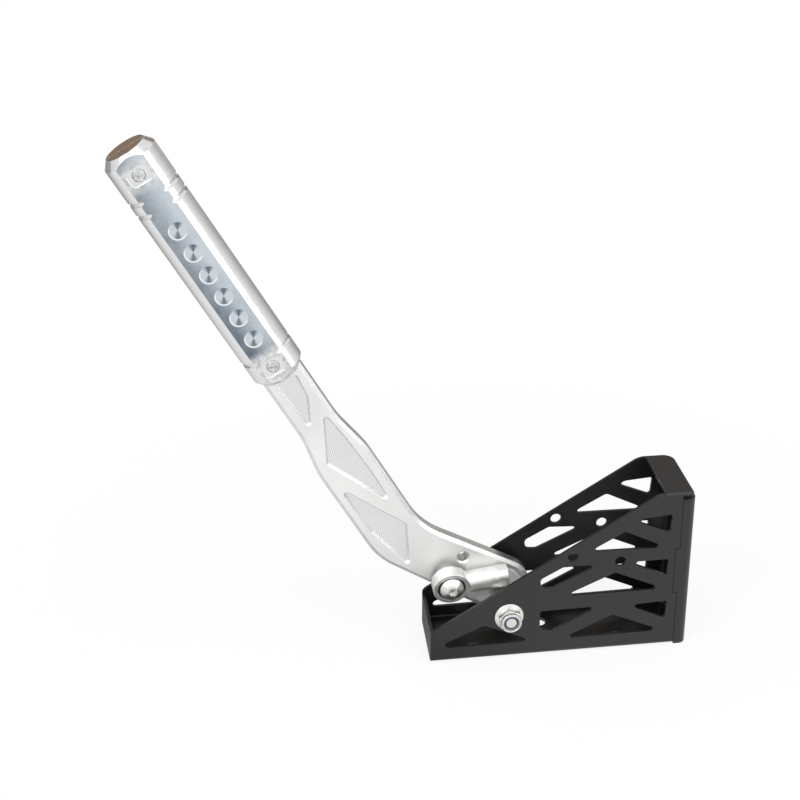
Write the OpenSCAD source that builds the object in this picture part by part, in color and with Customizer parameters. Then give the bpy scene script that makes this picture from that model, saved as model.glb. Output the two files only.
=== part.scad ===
// Parking brake lever on a folded lattice bracket, with a rod end for a hydraulic cylinder.
// X runs along the base from the lever's side to the cylinder's side, Y across it, Z up.
// The origin is the middle of the base's bolt holes, on the underside.

/* [Bracket] */
// Length of the bracket along the base
bracket_len = 159.2; // [149:0.1:177]
// Width over both side plates
bracket_w = 50; // [47:0.5:60]
// Height at the back plate
bracket_h = 106.6; // [100:0.1:120]
// Height of the side plates at the front end
front_h = 22.1; // [20:0.1:25]
// Height of the front end plate
front_wall_h = 20; // [15:0.1:21]
// How much further forward the near side plate reaches than the far one
front_lead = 1.8; // [0:0.1:3]
// Sheet thickness
sheet = 2; // [1.5:0.1:2.5]
// Length of the top cap
cap_len = 17; // [14:0.1:22]
// Outer radius of the fold along the cap's near edge
cap_fold_r = 1.8; // [1:0.1:1.9]
// Level length of the side plates' top in front of the cap
brow_len = 4.1; // [3:0.1:6]
// Radius of the brow where the side plates level off
brow_r = 14; // [6:0.5:18]
// Corner radius of the top cap at the far rear
cap_r = 7; // [4:0.5:9]
// Outer radius of the folds at the front and the floor
fold_r = 3; // [2.8:0.1:4]
// Outer radius of the folds at the rear
rear_fold_r = 5; // [4:0.1:6]
// Width of the band that wraps the near rear corner
band_w = 8.2; // [7.5:0.1:9.5]
// Gap between the back plate and the top cap
band_gap = 2.6; // [1:0.1:4]
// How far the band's locating tab reaches into the side plate
tab_reach = 2.7; // [1.5:0.1:4]
// Height of the tab's lower edge
tab_z = 37.5; // [34:0.5:44]
// Height of the tab itself
tab_h = 30.8; // [20:0.1:34]
// Open seam between sheet edges
seam = 0.3; // [0.1:0.05:0.5]

/* [Bracket holes] */
// Distance from the front end to the middle pair of base holes
base_mid = 72; // [68:0.5:78]
// Distance between the front and rear base holes
base_pitch = 90; // [84:1:92]
// Distance across between the front base holes, and the rear ones
base_gauge = 28; // [26:0.5:30]
// Diameter of the front and rear base holes
base_hole_d = 9; // [8.4:0.1:10]
// Distance across between the middle base holes
mid_gauge = 17; // [15:0.5:19]
// Diameter of the middle base holes
mid_hole_d = 10; // [8.4:0.1:11]
// Height of the cylinder's axis on the back plate
cyl_z = 54; // [48:0.5:60]
// Diameter of the cylinder's clearance hole
cyl_bore_d = 26; // [22:0.5:32]
// Distance between the cylinder's flange bolts
cyl_pitch = 57; // [50:0.5:62]
// Diameter of the flange bolt holes
cyl_hole_d = 8.5; // [6.6:0.1:9]
// Diameter of the two cross holes in the side plates
cross_hole_d = 6.7; // [5.5:0.1:7.2]

/* [Lattice windows] */
// Rim of sheet in front of the windows
rim_front = 7.5; // [6:0.5:12]
// Rim of sheet behind the windows
rim_rear = 14.6; // [13.8:0.1:19]
// Radius of the windows' sharp corners
window_r = 1.5; // [0.8:0.1:1.8]
// Radius of the front window's rounder tip
front_tip_r = 2.1; // [1.6:0.1:2.4]
// Radius of the windows' corners that are wider than a right angle
blunt_r = 3; // [2:0.1:3.4]

/* [Pivot] */
// Distance of the pivot from the front end
pivot_from_front = 46.1; // [43:0.1:50]
// Height of the pivot above the base
pivot_z = 29.6; // [27:0.1:33]
// Diameter of the pivot bolt
bolt_d = 8; // [7:0.1:8.4]
// Width across flats of the bolt head and the nut
hex_af = 13; // [12:0.1:14]
// Diameter of the flanges on bolt head and nut
flange_d = 17.9; // [16:0.1:20]
// Height of the bolt's head
bolt_head_h = 8; // [6:0.1:9]
// Height of the nut with its ring collar
nut_h = 9; // [8:0.1:11]
// Turn of the nut's hexagon on the bolt
nut_turn = 40; // [0:1:59]
// Outer diameter of the nut's plastic ring
ring_d = 11.4; // [10.5:0.1:11.8]
// Height of the nut's plastic ring
ring_h = 2.2; // [1.5:0.1:2.8]
// Outer diameter of the spacer tubes
spacer_d = 12; // [11:0.1:12.6]
// Outer diameter of the bush in the lever
bush_d = 12; // [11:0.1:14]
// Diameter of the thrust washers beside the lever
thrust_d = 30; // [24:0.5:34]
// Thickness of the thrust washers
thrust_t = 0.5; // [0.4:0.05:0.6]

/* [Lever] */
// Lean of the grip's axis back from upright
lever_lean = 30.34; // [26:0.01:34]
// Thickness of the arm
arm_t = 10; // [8:0.1:11]
// Width of the arm's upper part
arm_top_w = 25.3; // [23:0.1:26]
// Width of the arm's lower part
arm_low_w = 34.2; // [32:0.1:38]
// Distance of the grip's axis from the pivot
grip_offset = 34.8; // [32:0.1:38]
// Distance from the pivot to the grip's lower end, along the grip
grip_start = 199.6; // [194:0.1:215]
// Where the arm's widening begins, measured up from the pivot
kink_top = 158; // [150:1:162]
// Where the arm's widening ends
kink_low = 132; // [126:1:138]
// Radius of the bends where the arm widens
kink_r = 60; // [30:1:80]
// Height of the elbow on the arm's inner side
elbow_in = 66; // [60:0.5:70]
// Height of the elbow on the arm's outer side
elbow_out = 62; // [58:0.5:66]
// Radius of both elbows
elbow_r = 47; // [30:1:55]
// Radius of the pivot hub
hub_r = 18.2; // [17.6:0.1:19]
// How far the hub's middle lies from the pivot, towards the arm's inner side
hub_in = 1.8; // [0:0.1:2.4]
// Depth of the bevel round the arm, across its thickness
bevel_t = 1.5; // [0.8:0.1:2]
// Width of the bevel on the arm's faces
bevel_w = 2.2; // [1:0.1:2.5]
// Depth of the milled pockets
pocket_t = 2.2; // [1:0.1:3]
// Rim left round the pockets
pocket_rim = 6; // [5:0.1:7]
// Corner radius of the pockets
pocket_r = 1.8; // [1.6:0.1:2.6]
// How far the pockets' walls lean in
pocket_lean = 1.2; // [0.5:0.1:1.4]
// Width of the tang inside the grip
tang_w = 20; // [18:0.1:21]
// Tang's thickness less than the arm's
tang_step = 0.4; // [0.2:0.1:1]
// How far the tang stops short of the grip's upper end
tang_short = 6.2; // [5:0.1:10]
// How far the arm is let into the grip's lower end
arm_in = 3; // [2.5:0.1:4]

/* [Grip] */
// Length of the grip
grip_len = 161.2; // [152:0.1:172]
// Diameter of the grip
grip_d = 32; // [31:0.1:35]
// Distance of the flats from the grip's axis
flat_dist = 13.4; // [12.8:0.1:14]
// Length of the end chamfers
end_len = 5; // [3:0.1:6]
// Depth of the end chamfers
end_depth = 4; // [2:0.1:5]
// Width of the ring grooves at the surface
groove_w = 3; // [2:0.1:4]
// Depth of the ring grooves
groove_t = 1; // [0.5:0.1:1.2]
// Lower ring groove, from the grip's lower end
groove_low = 18.2; // [18:0.1:21]
// Middle of the upper pair of ring grooves, from the grip's upper end
groove_high = 31.9; // [28:0.1:36]
// Distance between the two upper ring grooves
groove_pitch = 8.2; // [6:0.1:10]
// Lower screw, from the grip's lower end
screw_low = 11.3; // [10.5:0.1:12]
// Upper screw, from the grip's upper end
screw_high = 13.8; // [12.5:0.1:15]
// First dimple, from the grip's lower end
dimple_first = 32.2; // [30:0.1:34]
// Distance between the dimples
dimple_pitch = 15.5; // [13:0.1:16]
// Number of dimples
dimple_n = 6; // [3:1:6]
// Diameter of the dimples
dimple_d = 10.8; // [8:0.1:12]
// Depth of the dimples
dimple_t = 1.6; // [0.8:0.1:2]
// Length of the shallow seat round each grip screw
seat_len = 10; // [9.8:0.1:11]
// Width of the shallow seat round each grip screw
seat_w = 13; // [12:0.1:14]
// Depth of the shallow seat
seat_t = 0.8; // [0.4:0.1:1.2]
// Corner radius of the shallow seat
seat_r = 2.5; // [1:0.1:4]
// Diameter of the grip screws
grip_screw_d = 4; // [3:0.1:5.5]
// Head diameter of the grip screws
grip_head_d = 7; // [6.5:0.1:9]
// Head height of the grip screws
grip_head_h = 4; // [3:0.1:5]
// Hexagon socket of the grip screws, across flats
grip_socket = 3; // [2.5:0.1:4]
// Length of the grip screws under the head
grip_screw_len = 18; // [16:0.1:18.5]

/* [Rod end] */
// Distance of the rod end's eye from the pivot
eye_radius = 33.3; // [32:0.1:36]
// Direction of the eye from the pivot, from the arm's inner side
eye_angle = 132.66; // [128:0.01:136]
// Direction of the spare eye
spare_angle = 103.16; // [98:0.01:106]
// Tapping diameter of the spare eye and of the rod end's thread
tap_d = 6.8; // [6:0.1:7]
// Outer diameter of the rod end's head
head_d = 23; // [22.4:0.1:26]
// Width of the rod end's head
head_w = 8.4; // [8:0.1:10]
// Diameter of the ball
ball_d = 15.88; // [15:0.01:16.5]
// Width of the ball
ball_w = 12; // [11.5:0.1:13]
// Outer diameter of the liner
race_d = 17; // [16.9:0.1:18.4]
// Distance from the eye to the end of the shank
shank_len = 36; // [33:0.5:40]
// Diameter of the shank
shank_d = 13.6; // [13.2:0.1:13.9]
// Width across flats of the shank's wrench collar
collar_af = 13; // [12.8:0.1:13.4]
// Diameter over the collar's corners
collar_d = 14; // [13.6:0.1:14.1]
// Length of the wrench collar
collar_len = 7; // [5:0.5:8]
// Depth of the rod end's thread
thread_len = 16; // [12:0.5:18]
// Diameter of the rod end's screw
eye_screw_d = 8; // [7:0.1:8.2]
// Head diameter of the rod end's screw
eye_head_d = 14.6; // [12:0.1:15]
// Head height of the rod end's screw
eye_head_h = 4.4; // [3.5:0.1:5]
// Hexagon socket of the rod end's screw, across flats
eye_socket = 5; // [4:0.1:6]
// Diameter of the washer behind the ball
washer_d = 13; // [12:0.1:14]
// Thickness of the washer behind the ball
washer_t = 1.6; // [1.4:0.05:2.5]

/* [Fits] */
// Radial running clearance of bush and ball
run_gap = 0.05; // [0.02:0.01:0.1]
// Radial clearance of a seat that doesn't turn
seat_gap = 0.03; // [0.01:0.01:0.1]
// Radial clearance of a bolt in a plain hole
hole_gap = 0.2; // [0.1:0.05:0.4]
// End play of the lever between its spacers
end_play = 0.1; // [0.05:0.05:0.3]
// Gap of the rod end's collar over the spacer that it lies on
rest_gap = 0.5; // [0.2:0.05:0.8]

/* [Hidden] */
$fn = 64;

paint = "#1d1d1e";
alloy = "#d8dadb";
polish = "#c3c9cf";
zinc = "#c9cbc8";

// Overshoot of cutting tools
cut = 1;
// Straight steps in each rounded corner of a box
arc_steps = 6;
// Largest turn of each straight step in an eased outline
step_turn = 24;
// Straight steps in each bend of the lever
bend_steps = 10;
// Straight steps in the arc of the lever's hub
hub_steps = 32;

pivot_x = pivot_from_front - base_mid;
half_w = bracket_w / 2;
inner_y = half_w - sheet;

// The lever lies beyond the rod end, which runs along the bracket's middle
arm_near = ball_w / 2 + washer_t;
arm_far = arm_near + arm_t;
arm_mid = arm_near + arm_t / 2;
tang_top = grip_len - tang_short;

// The rod end's collar lies on the near spacer
eye_side_angle = 180 - eye_angle - lever_lean;
rod_rest = asin((collar_d / 2 + spacer_d / 2 + rest_gap) / eye_radius) - eye_side_angle;
// Its housing leans on the ball until it almost meets the screw's head
lean_r = max(eye_head_d, washer_d) / 2;
lean_y = ball_w / 2 - hole_gap;
rod_tilt = acos(head_w / 2 / norm([lean_r, lean_y])) - atan2(lean_r, lean_y);
eye = polar(eye_radius, eye_angle);
spare = polar(eye_radius, spare_angle);

function polar(r, a) = [r * cos(a), r * sin(a)];
function heading(v) = atan2(v.y, v.x);
function unit(v) = v / norm(v);
function arc(c, r, a0, a1, n) = [for (i = [0 : n]) c + polar(r, a0 + (a1 - a0) * i / n)];

// Arc of radius r that rounds the corner b between the points a and c
function corner(a, b, c, r, n) =
  let (
    u = unit(a - b),
    v = unit(c - b),
    half = acos(u * v) / 2,
    o = b + unit(u + v) * r / sin(half),
    a0 = heading(b + u * r / tan(half) - o),
    turn = heading(b + v * r / tan(half) - o) - a0,
    sweep = turn > 180 ? turn - 360 : turn < -180 ? turn + 360 : turn
  )
  arc(o, r, a0, a0 + sweep, n);

// Outline through the tips p, eased to the radius r, or to blunt where a corner is wider than a right angle,
// or to first at the first tip; the tips run anticlockwise round a bulging shape
function eased(p, r, blunt, first) =
  let (
    n = len(p),
    to_last = [for (i = [0 : n - 1]) unit(p[(i + n - 1) % n] - p[i])],
    to_next = [for (i = [0 : n - 1]) unit(p[(i + 1) % n] - p[i])],
    q = [for (i = [0 : n - 1]) to_last[i] * to_next[i] < 0 ? blunt : i == 0 ? first : r],
    c = [for (i = [0 : n - 1]) p[i] + q[i] * unit(to_last[i] + to_next[i])],
    leave = [for (i = [0 : n - 1])
      let (
        j = (i + 1) % n,
        span = c[j] - c[i]
      )
      heading(span) - acos((q[i] - q[j]) / norm(span))]
  )
  [for (i = [0 : n - 1])
    let (
      a0 = leave[(i + n - 1) % n],
      turn = leave[i] - a0,
      sweep = turn - 360 * floor(turn / 360)
    )
    each arc(c[i], q[i], a0, a0 + sweep, ceil(sweep / step_turn))];

// Direction, from a circle's centre, of the point where a line from e touches it
function touch(e, r, side) = heading(e) + side * acos(r / norm(e));

// Outline moved inwards by d; the points run anticlockwise
function shrunk(p, d) =
  let (n = len(p))
  [for (i = [0 : n - 1])
    let (
      u = unit(p[i] - p[(i + n - 1) % n]),
      v = unit(p[(i + 1) % n] - p[i]),
      m = unit([-u.y - v.y, u.x + v.x])
    )
    p[i] + m * d / (m * [-u.y, u.x])];

// Rectangle round the origin with corners of radius r
function rounded_box(w, h, r) =
  concat(arc([w / 2 - r, h / 2 - r], r, 0, 90, arc_steps), arc([r - w / 2, h / 2 - r], r, 90, 180, arc_steps),
    arc([r - w / 2, r - h / 2], r, 180, 270, arc_steps), arc([w / 2 - r, r - h / 2], r, 270, 360, arc_steps));

// Solid through a stack of outlines with equal numbers of points, each given with its height
module lofted(rings) {
  n = len(rings[0][0]);
  last = len(rings) - 1;
  points = [for (ring = rings) each [for (q = ring[0]) [q.x, q.y, ring[1]]]];
  walls = [for (k = [0 : last - 1]) each [for (i = [0 : n - 1])
    [k * n + i, (k + 1) * n + i, (k + 1) * n + (i + 1) % n, k * n + (i + 1) % n]]];
  base = [for (i = [0 : n - 1]) i];
  top = [for (i = [n - 1 : -1 : 0]) last * n + i];
  polyhedron(points, concat([base, top], walls));
}

// Plate of thickness t from z = 0 up, bevelled round both faces; its outline lies within reach of the origin
module bevelled_plate(p, t, depth, width, reach) {
  small = shrunk(p, width * (1 + cut / depth));
  intersection() {
    lofted([[small, -cut], [p, depth], [p, t - depth], [small, t + cut]]);
    translate([-reach, -reach, 0]) cube([2 * reach, 2 * reach, t]);
  }
}

// Cutter for a pocket with leaning walls, from its floor at z = 0 up past the surface
module pocket_cutter(p) {
  rise = 1 + cut / pocket_t;
  lofted([[shrunk(p, pocket_lean), 0], [shrunk(p, pocket_lean * (1 - rise)), pocket_t * rise]]);
}

// Turns a shape drawn up the Z axis so that it runs along +Y from y
module along_y(y) {
  translate([0, y, 0]) rotate([-90, 0, 0]) children();
}

// Stands a flat outline of X and Z upright, filling Y from y to y + t
module upright(y, t) {
  translate([0, y + t, 0]) rotate([90, 0, 0]) linear_extrude(t) children();
}

// Bracket shapes are measured from the front end
module at_front() {
  translate([-base_mid, 0, 0]) children();
}

module at_pivot() {
  translate([pivot_x, 0, pivot_z]) children();
}

// Lever shapes: X towards the arm's inner side, Z along the grip, origin at the pivot
module at_lever() {
  at_pivot() rotate([0, -lever_lean, 0]) children();
}

module at_grip() {
  at_lever() translate([-grip_offset, arm_mid, grip_start]) children();
}

// Rod end shapes: X along the shank, origin at the eye
module at_rod_end() {
  at_lever() translate([eye.x, 0, eye.y]) rotate([0, lever_lean - rod_rest, 0]) children();
}

module hex_prism(af, h) {
  cylinder(d = af / cos(30), h = h, $fn = 6);
}

// Outline of a side plate, from lead before the front end to the back plate; the cap lies on its flat top
module side_outline(lead) {
  brow_x = bracket_len - sheet - cap_len;
  bend = [brow_x - brow_len, bracket_h];
  rise = (bracket_h - front_h) / bend.x;
  tip = [-lead, front_h - lead * rise];
  round_r = min(brow_r, 0.95 * brow_len / tan(atan(rise) / 2));
  under_cap = bracket_h - sheet;
  polygon(concat(
    [[-lead, 0], [bracket_len, 0], [bracket_len, under_cap], [brow_x, under_cap], [brow_x, bracket_h]],
    corner([brow_x, bracket_h], bend, tip, round_r, arc_steps),
    [tip]));
}

// Point of the window field: share of its length, and share of the bracket's height
function field(s, z) = [rim_front + s * (bracket_len - rim_front - rim_rear), z * bracket_h];

// The lattice windows of a side plate, each a triangle or a blunt wedge
module windows() {
  wedges = [
    [field(-0.003, 0.1046), field(0.359, 0.105), field(0.171, 0.222)],
    [field(0.429, 0.176), field(0.483, 0.157), field(0.658, 0.284), field(0.426, 0.287)],
    [field(0.565, 0.105), field(0.947, 0.111), field(0.756, 0.231)],
    [field(0.856, 0.278), field(0.993, 0.19), field(1, 0.295)],
    [field(0.422, 0.498), field(0.429, 0.451), field(0.473, 0.441), field(0.653, 0.561), field(0.531, 0.579)],
    [field(0.563, 0.389), field(0.947, 0.392), field(0.758, 0.511)],
    [field(0.851, 0.564), field(0.991, 0.478), field(0.997, 0.573)],
    [field(0.662, 0.671), field(0.947, 0.667), field(0.793, 0.774)],
    [field(0.861, 0.833), field(0.993, 0.762), field(1, 0.862), field(0.878, 0.853)]
  ];
  for (w = wedges) polygon(eased(w, window_r, blunt_r, w == wedges[0] ? front_tip_r : window_r));
}

// The two plain cross holes of a side plate
module cross_holes() {
  for (p = [field(0.562, 0.633), field(0.778, 0.585)]) translate(p) circle(d = cross_hole_d);
}

// Quarter of a fold with outer radius r, in the corner at the origin
module fold(r) {
  intersection() {
    square(r);
    translate([r, r]) difference() {
      circle(r);
      circle(r - sheet);
    }
  }
}

// Side plate with its floor flange, on the near side, starting lead before the front end and ending short of
// the back plate by rear
module side_sheet(lead, rear) {
  upright(-half_w, sheet) difference() {
    intersection() {
      side_outline(lead);
      translate([fold_r - lead, fold_r]) square([bracket_len - fold_r + lead - rear, bracket_h]);
    }
    windows();
    cross_holes();
    translate([pivot_from_front, pivot_z]) circle(d = bolt_d + 2 * hole_gap);
  }
  floor_end = bracket_len - sheet - seam;
  relief_x = bracket_len - rear_fold_r - seam;
  relief_y = max(fold_r, rear_fold_r);
  fold_len = bracket_len - fold_r + lead - max(rear, rear_fold_r + seam);
  translate([fold_r - lead, -half_w, 0]) rotate([90, 0, 90]) linear_extrude(fold_len) fold(fold_r);
  difference() {
    translate([0, -half_w, 0]) linear_extrude(sheet)
      polygon([[fold_r, fold_r], [relief_x, fold_r], [relief_x, relief_y], [floor_end, relief_y],
               [floor_end, half_w - seam / 2], [fold_r, half_w - seam / 2]]);
    for (i = [-1, 1]) translate([base_mid + i * base_pitch / 2, -base_gauge / 2, -cut])
      cylinder(d = base_hole_d, h = sheet + 2 * cut);
    translate([base_mid, -mid_gauge / 2, -cut]) cylinder(d = mid_hole_d, h = sheet + 2 * cut);
  }
}

module bracket_side_near() {
  color(paint) at_front() difference() {
    side_sheet(front_lead, band_w + seam);
    upright(-half_w - cut, sheet + 2 * cut)
      translate([bracket_len - band_w - tab_reach - seam, tab_z - seam])
        square([band_w, tab_h + 2 * seam]);
  }
}

module bracket_side_far() {
  color(paint) at_front() mirror([0, 1, 0]) side_sheet(0, rear_fold_r);
}

// Outline of the bracket across its width, rounded like the floor's folds
module cross_outline() {
  translate([-half_w, fold_r]) square([bracket_w, bracket_h]);
  translate([fold_r - half_w, 0]) square([bracket_w - 2 * fold_r, bracket_h]);
  for (i = [-1, 1]) translate([i * (half_w - fold_r), fold_r]) circle(fold_r);
}

module bracket_front() {
  end_y = half_w - fold_r;
  color(paint) at_front() {
    linear_extrude(front_wall_h)
      polygon([[-front_lead, -end_y], [sheet - front_lead, -end_y], [sheet, end_y], [0, end_y]]);
    intersection() {
      linear_extrude(bracket_h) {
        translate([-front_lead, -half_w]) fold(fold_r);
        translate([0, half_w]) mirror([0, 1]) fold(fold_r);
      }
      upright(-half_w - cut, bracket_w + 2 * cut) side_outline(front_lead);
      translate([-front_lead, 0, 0]) rotate([90, 0, 90]) linear_extrude(front_lead + fold_r) cross_outline();
    }
  }
}

module bracket_back() {
  wall_h = bracket_h - sheet - band_gap;
  color(paint) at_front() difference() {
    union() {
      translate([bracket_len - sheet, rear_fold_r - half_w, 0])
        cube([sheet, bracket_w - 2 * rear_fold_r, wall_h]);
      linear_extrude(wall_h) translate([bracket_len, -half_w]) mirror([1, 0]) fold(rear_fold_r);
      linear_extrude(wall_h) translate([bracket_len, half_w]) rotate(180) fold(rear_fold_r);
      upright(-half_w, sheet) {
        translate([bracket_len - band_w, 0]) square([band_w - rear_fold_r, wall_h]);
        translate([bracket_len - band_w - tab_reach, tab_z])
          square([tab_reach + band_w - rear_fold_r, tab_h]);
      }
    }
    translate([bracket_len - sheet - cut, 0, cyl_z]) rotate([0, 90, 0]) {
      cylinder(d = cyl_bore_d, h = sheet + 2 * cut);
      for (i = [-1, 1]) translate([i * cyl_pitch / 2, 0, 0]) cylinder(d = cyl_hole_d, h = sheet + 2 * cut);
    }
  }
}

// Top cap, lying on the side plates
module bracket_top() {
  color(paint) at_front() translate([bracket_len - sheet, 0, bracket_h - sheet]) {
    linear_extrude(sheet) {
      translate([-cap_len, cap_fold_r - half_w]) square([cap_len, bracket_w - cap_r - cap_fold_r]);
      translate([-cap_len, half_w - cap_r]) square([cap_len - cap_r, cap_r]);
      intersection() {
        translate([-cap_r, half_w - cap_r]) circle(cap_r);
        translate([-cap_r, half_w - cap_r]) square(cap_r);
      }
    }
    translate([-cap_len, -half_w, 0]) rotate([90, 0, 90]) linear_extrude(cap_len) {
      square([cap_fold_r, sheet - cap_fold_r]);
      translate([0, sheet - cap_fold_r]) intersection() {
        square(cap_fold_r);
        translate([cap_fold_r, 0]) circle(cap_fold_r);
      }
    }
  }
}

// Hexagon on a round flange, standing on z = 0, as on the bolt head and the nut
module flanged_hex(h, rim) {
  cylinder(d = flange_d, h = rim);
  translate([0, 0, rim]) cylinder(d1 = flange_d, d2 = hex_af, h = rim);
  hex_prism(hex_af, h);
}

module pivot_bolt() {
  rim = 1.2;
  tip = 0.8;
  reach = bracket_w + nut_h - tip / 2;
  color(zinc) at_pivot() {
    along_y(half_w) flanged_hex(bolt_head_h, rim);
    along_y(half_w - reach) {
      translate([0, 0, tip]) cylinder(d = bolt_d, h = reach - tip);
      cylinder(d1 = bolt_d - 2 * tip, d2 = bolt_d, h = tip);
    }
  }
}

module pivot_nut() {
  rim = 1.4;
  collar_wall = 0.6;
  color(zinc) at_pivot() translate([0, -half_w, 0]) rotate([90, 0, 0]) difference() {
    union() {
      rotate(nut_turn) flanged_hex(nut_h - ring_h, rim);
      cylinder(d = ring_d + 2 * collar_wall, h = nut_h);
    }
    translate([0, 0, -cut]) cylinder(d = bolt_d + 2 * seat_gap, h = nut_h + 2 * cut);
    translate([0, 0, nut_h - ring_h]) cylinder(d = ring_d, h = ring_h + cut);
  }
}

module pivot_nut_ring() {
  color("#dfe6f2") at_pivot() translate([0, -half_w, 0]) rotate([90, 0, 0])
    translate([0, 0, nut_h - ring_h]) difference() {
      cylinder(d = ring_d - 2 * seat_gap, h = ring_h);
      translate([0, 0, -cut]) cylinder(d = bolt_d + 2 * seat_gap, h = ring_h + 2 * cut);
    }
}

module spacer(y, h) {
  color(zinc) at_pivot() along_y(y) difference() {
    cylinder(d = spacer_d, h = h);
    translate([0, 0, -cut]) cylinder(d = bolt_d + 2 * hole_gap, h = h + 2 * cut);
  }
}

module pivot_spacer_near() {
  spacer(-inner_y, inner_y + arm_near - thrust_t - end_play);
}

module pivot_spacer_far() {
  start = arm_far + thrust_t + end_play;
  spacer(start, inner_y - start);
}

module pivot_bush() {
  color("#b08d4f") at_pivot() along_y(arm_near) difference() {
    cylinder(d = bush_d, h = arm_t);
    translate([0, 0, -cut]) cylinder(d = bolt_d + 2 * run_gap, h = arm_t + 2 * cut);
  }
}

module thrust_washer(y) {
  color("#dfe6f2") at_pivot() along_y(y) difference() {
    cylinder(d = thrust_d, h = thrust_t);
    translate([0, 0, -cut]) cylinder(d = bolt_d + 2 * run_gap, h = thrust_t + 2 * cut);
  }
}

module thrust_washer_near() {
  thrust_washer(arm_near - thrust_t);
}

module thrust_washer_far() {
  thrust_washer(arm_far);
}

// Outline of the lever, anticlockwise from where the outer edge touches the hub
function lever_outline() =
  let (
    low = arm_low_w / 2,
    top = arm_top_w / 2,
    end = grip_start + arm_in,
    hub = [hub_in, 0],
    in_elbow = [low - grip_offset, elbow_in],
    out_elbow = [-low - grip_offset, elbow_out],
    in_touch = touch(in_elbow - hub, hub_r, -1),
    out_touch = touch(out_elbow - hub, hub_r, 1),
    bends = [
      [hub + polar(hub_r, in_touch), 0],
      [in_elbow, elbow_r],
      [[low - grip_offset, kink_low], kink_r],
      [[top - grip_offset, kink_top], kink_r],
      [[top - grip_offset, end], 0],
      [[-top - grip_offset, end], 0],
      [[-top - grip_offset, kink_top], kink_r],
      [[-low - grip_offset, kink_low], kink_r],
      [out_elbow, elbow_r],
      [hub + polar(hub_r, out_touch), 0]
    ]
  )
  concat(
    arc(hub, hub_r, out_touch, in_touch + 360, hub_steps),
    [for (i = [1 : len(bends) - 2]) each bends[i][1] == 0 ? [bends[i][0]] :
      corner(bends[i - 1][0], bends[i][0], bends[i + 1][0], bends[i][1], bend_steps)]);

// Outlines of the milled pockets between the arm's diagonal webs
function pockets() =
  let (
    in_rim = arm_low_w / 2 - grip_offset - pocket_rim,
    out_rim = pocket_rim - arm_low_w / 2 - grip_offset,
    top_in = arm_top_w / 2 - grip_offset - pocket_rim,
    top_out = pocket_rim - arm_top_w / 2 - grip_offset,
    mouth = grip_start - 2,
    web_top = kink_top + 5
  )
  [
    [[top_out, mouth], [top_out + 2.5, web_top], [top_in - 1, web_top + 17], [top_in, mouth - 2]],
    [[top_in, web_top], [out_rim + 2, kink_low + 3], [in_rim - 2, kink_low - 37],
      [in_rim, kink_low - 16], [in_rim - 1, kink_low + 12]],
    [[out_rim + 1, kink_low - 19], [out_rim, elbow_out + 18], [out_rim + 8, elbow_out - 14],
      [in_rim - 1, elbow_in + 7]]
  ];

module lever_arm() {
  through = arm_t + 2 * cut;
  color(alloy) at_lever() difference() {
    union() {
      translate([0, arm_far, 0]) rotate([90, 0, 0])
        bevelled_plate(lever_outline(), arm_t, bevel_t, bevel_w, grip_start + grip_len);
      translate([-grip_offset - tang_w / 2, arm_near + tang_step / 2, grip_start - arm_in])
        cube([tang_w, arm_t - tang_step, tang_top + arm_in]);
    }
    for (p = pockets()) {
      rim = eased(p, pocket_r, pocket_r, pocket_r);
      translate([0, arm_near + pocket_t, 0]) rotate([90, 0, 0]) pocket_cutter(rim);
      translate([0, arm_mid, 0]) mirror([0, 1, 0]) translate([0, pocket_t - arm_t / 2, 0]) rotate([90, 0, 0])
        pocket_cutter(rim);
    }
    along_y(arm_near - cut) cylinder(d = bush_d + 2 * seat_gap, h = through);
    translate([eye.x, 0, eye.y]) along_y(arm_near - cut)
      cylinder(d = eye_screw_d + 2 * seat_gap, h = through);
    translate([spare.x, 0, spare.y]) along_y(arm_near - cut) cylinder(d = tap_d, h = through);
    translate([-grip_offset, arm_near - cut, grip_start]) at_screws() along_y(0)
      cylinder(d = grip_screw_d + 2 * hole_gap, h = through);
  }
}

// Turned outline of the grip, as radius and height from its lower end
function grip_profile() =
  let (
    r = grip_d / 2,
    high = grip_len - groove_high,
    grooves = [groove_low, high - groove_pitch / 2, high + groove_pitch / 2]
  )
  concat(
    [[0, 0], [r - end_depth, 0], [r, end_len]],
    [for (g = grooves) each [[r, g - groove_w / 2], [r - groove_t, g - groove_w / 6],
      [r - groove_t, g + groove_w / 6], [r, g + groove_w / 2]]],
    [[r, grip_len - end_len], [r - end_depth, grip_len], [0, grip_len]]);

// Half of the grip, the near one; it closes on the tang at the grip's middle plane
module grip_half() {
  beyond = 2 * grip_d;
  mouth_w = arm_top_w + 2 * hole_gap;
  slot_w = tang_w + 2 * hole_gap;
  difference() {
    rotate_extrude() polygon(grip_profile());
    translate([-grip_d, 0, -cut]) cube([beyond, grip_d, grip_len + 2 * cut]);
    translate([-grip_d, -flat_dist - grip_d, -cut]) cube([beyond, grip_d, grip_len + 2 * cut]);
    translate([-mouth_w / 2, -arm_t / 2 - hole_gap, -cut]) cube([mouth_w, grip_d, arm_in + hole_gap + cut]);
    translate([-slot_w / 2, -arm_t / 2, -cut]) cube([slot_w, grip_d, tang_top + hole_gap + cut]);
  }
}

// Places a child at each grip screw
module at_screws() {
  for (z = [screw_low, grip_len - screw_high]) translate([0, 0, z]) children();
}

// Depth at which the grip screws' heads sit
head_seat = flat_dist - seat_t - grip_head_h;

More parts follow.
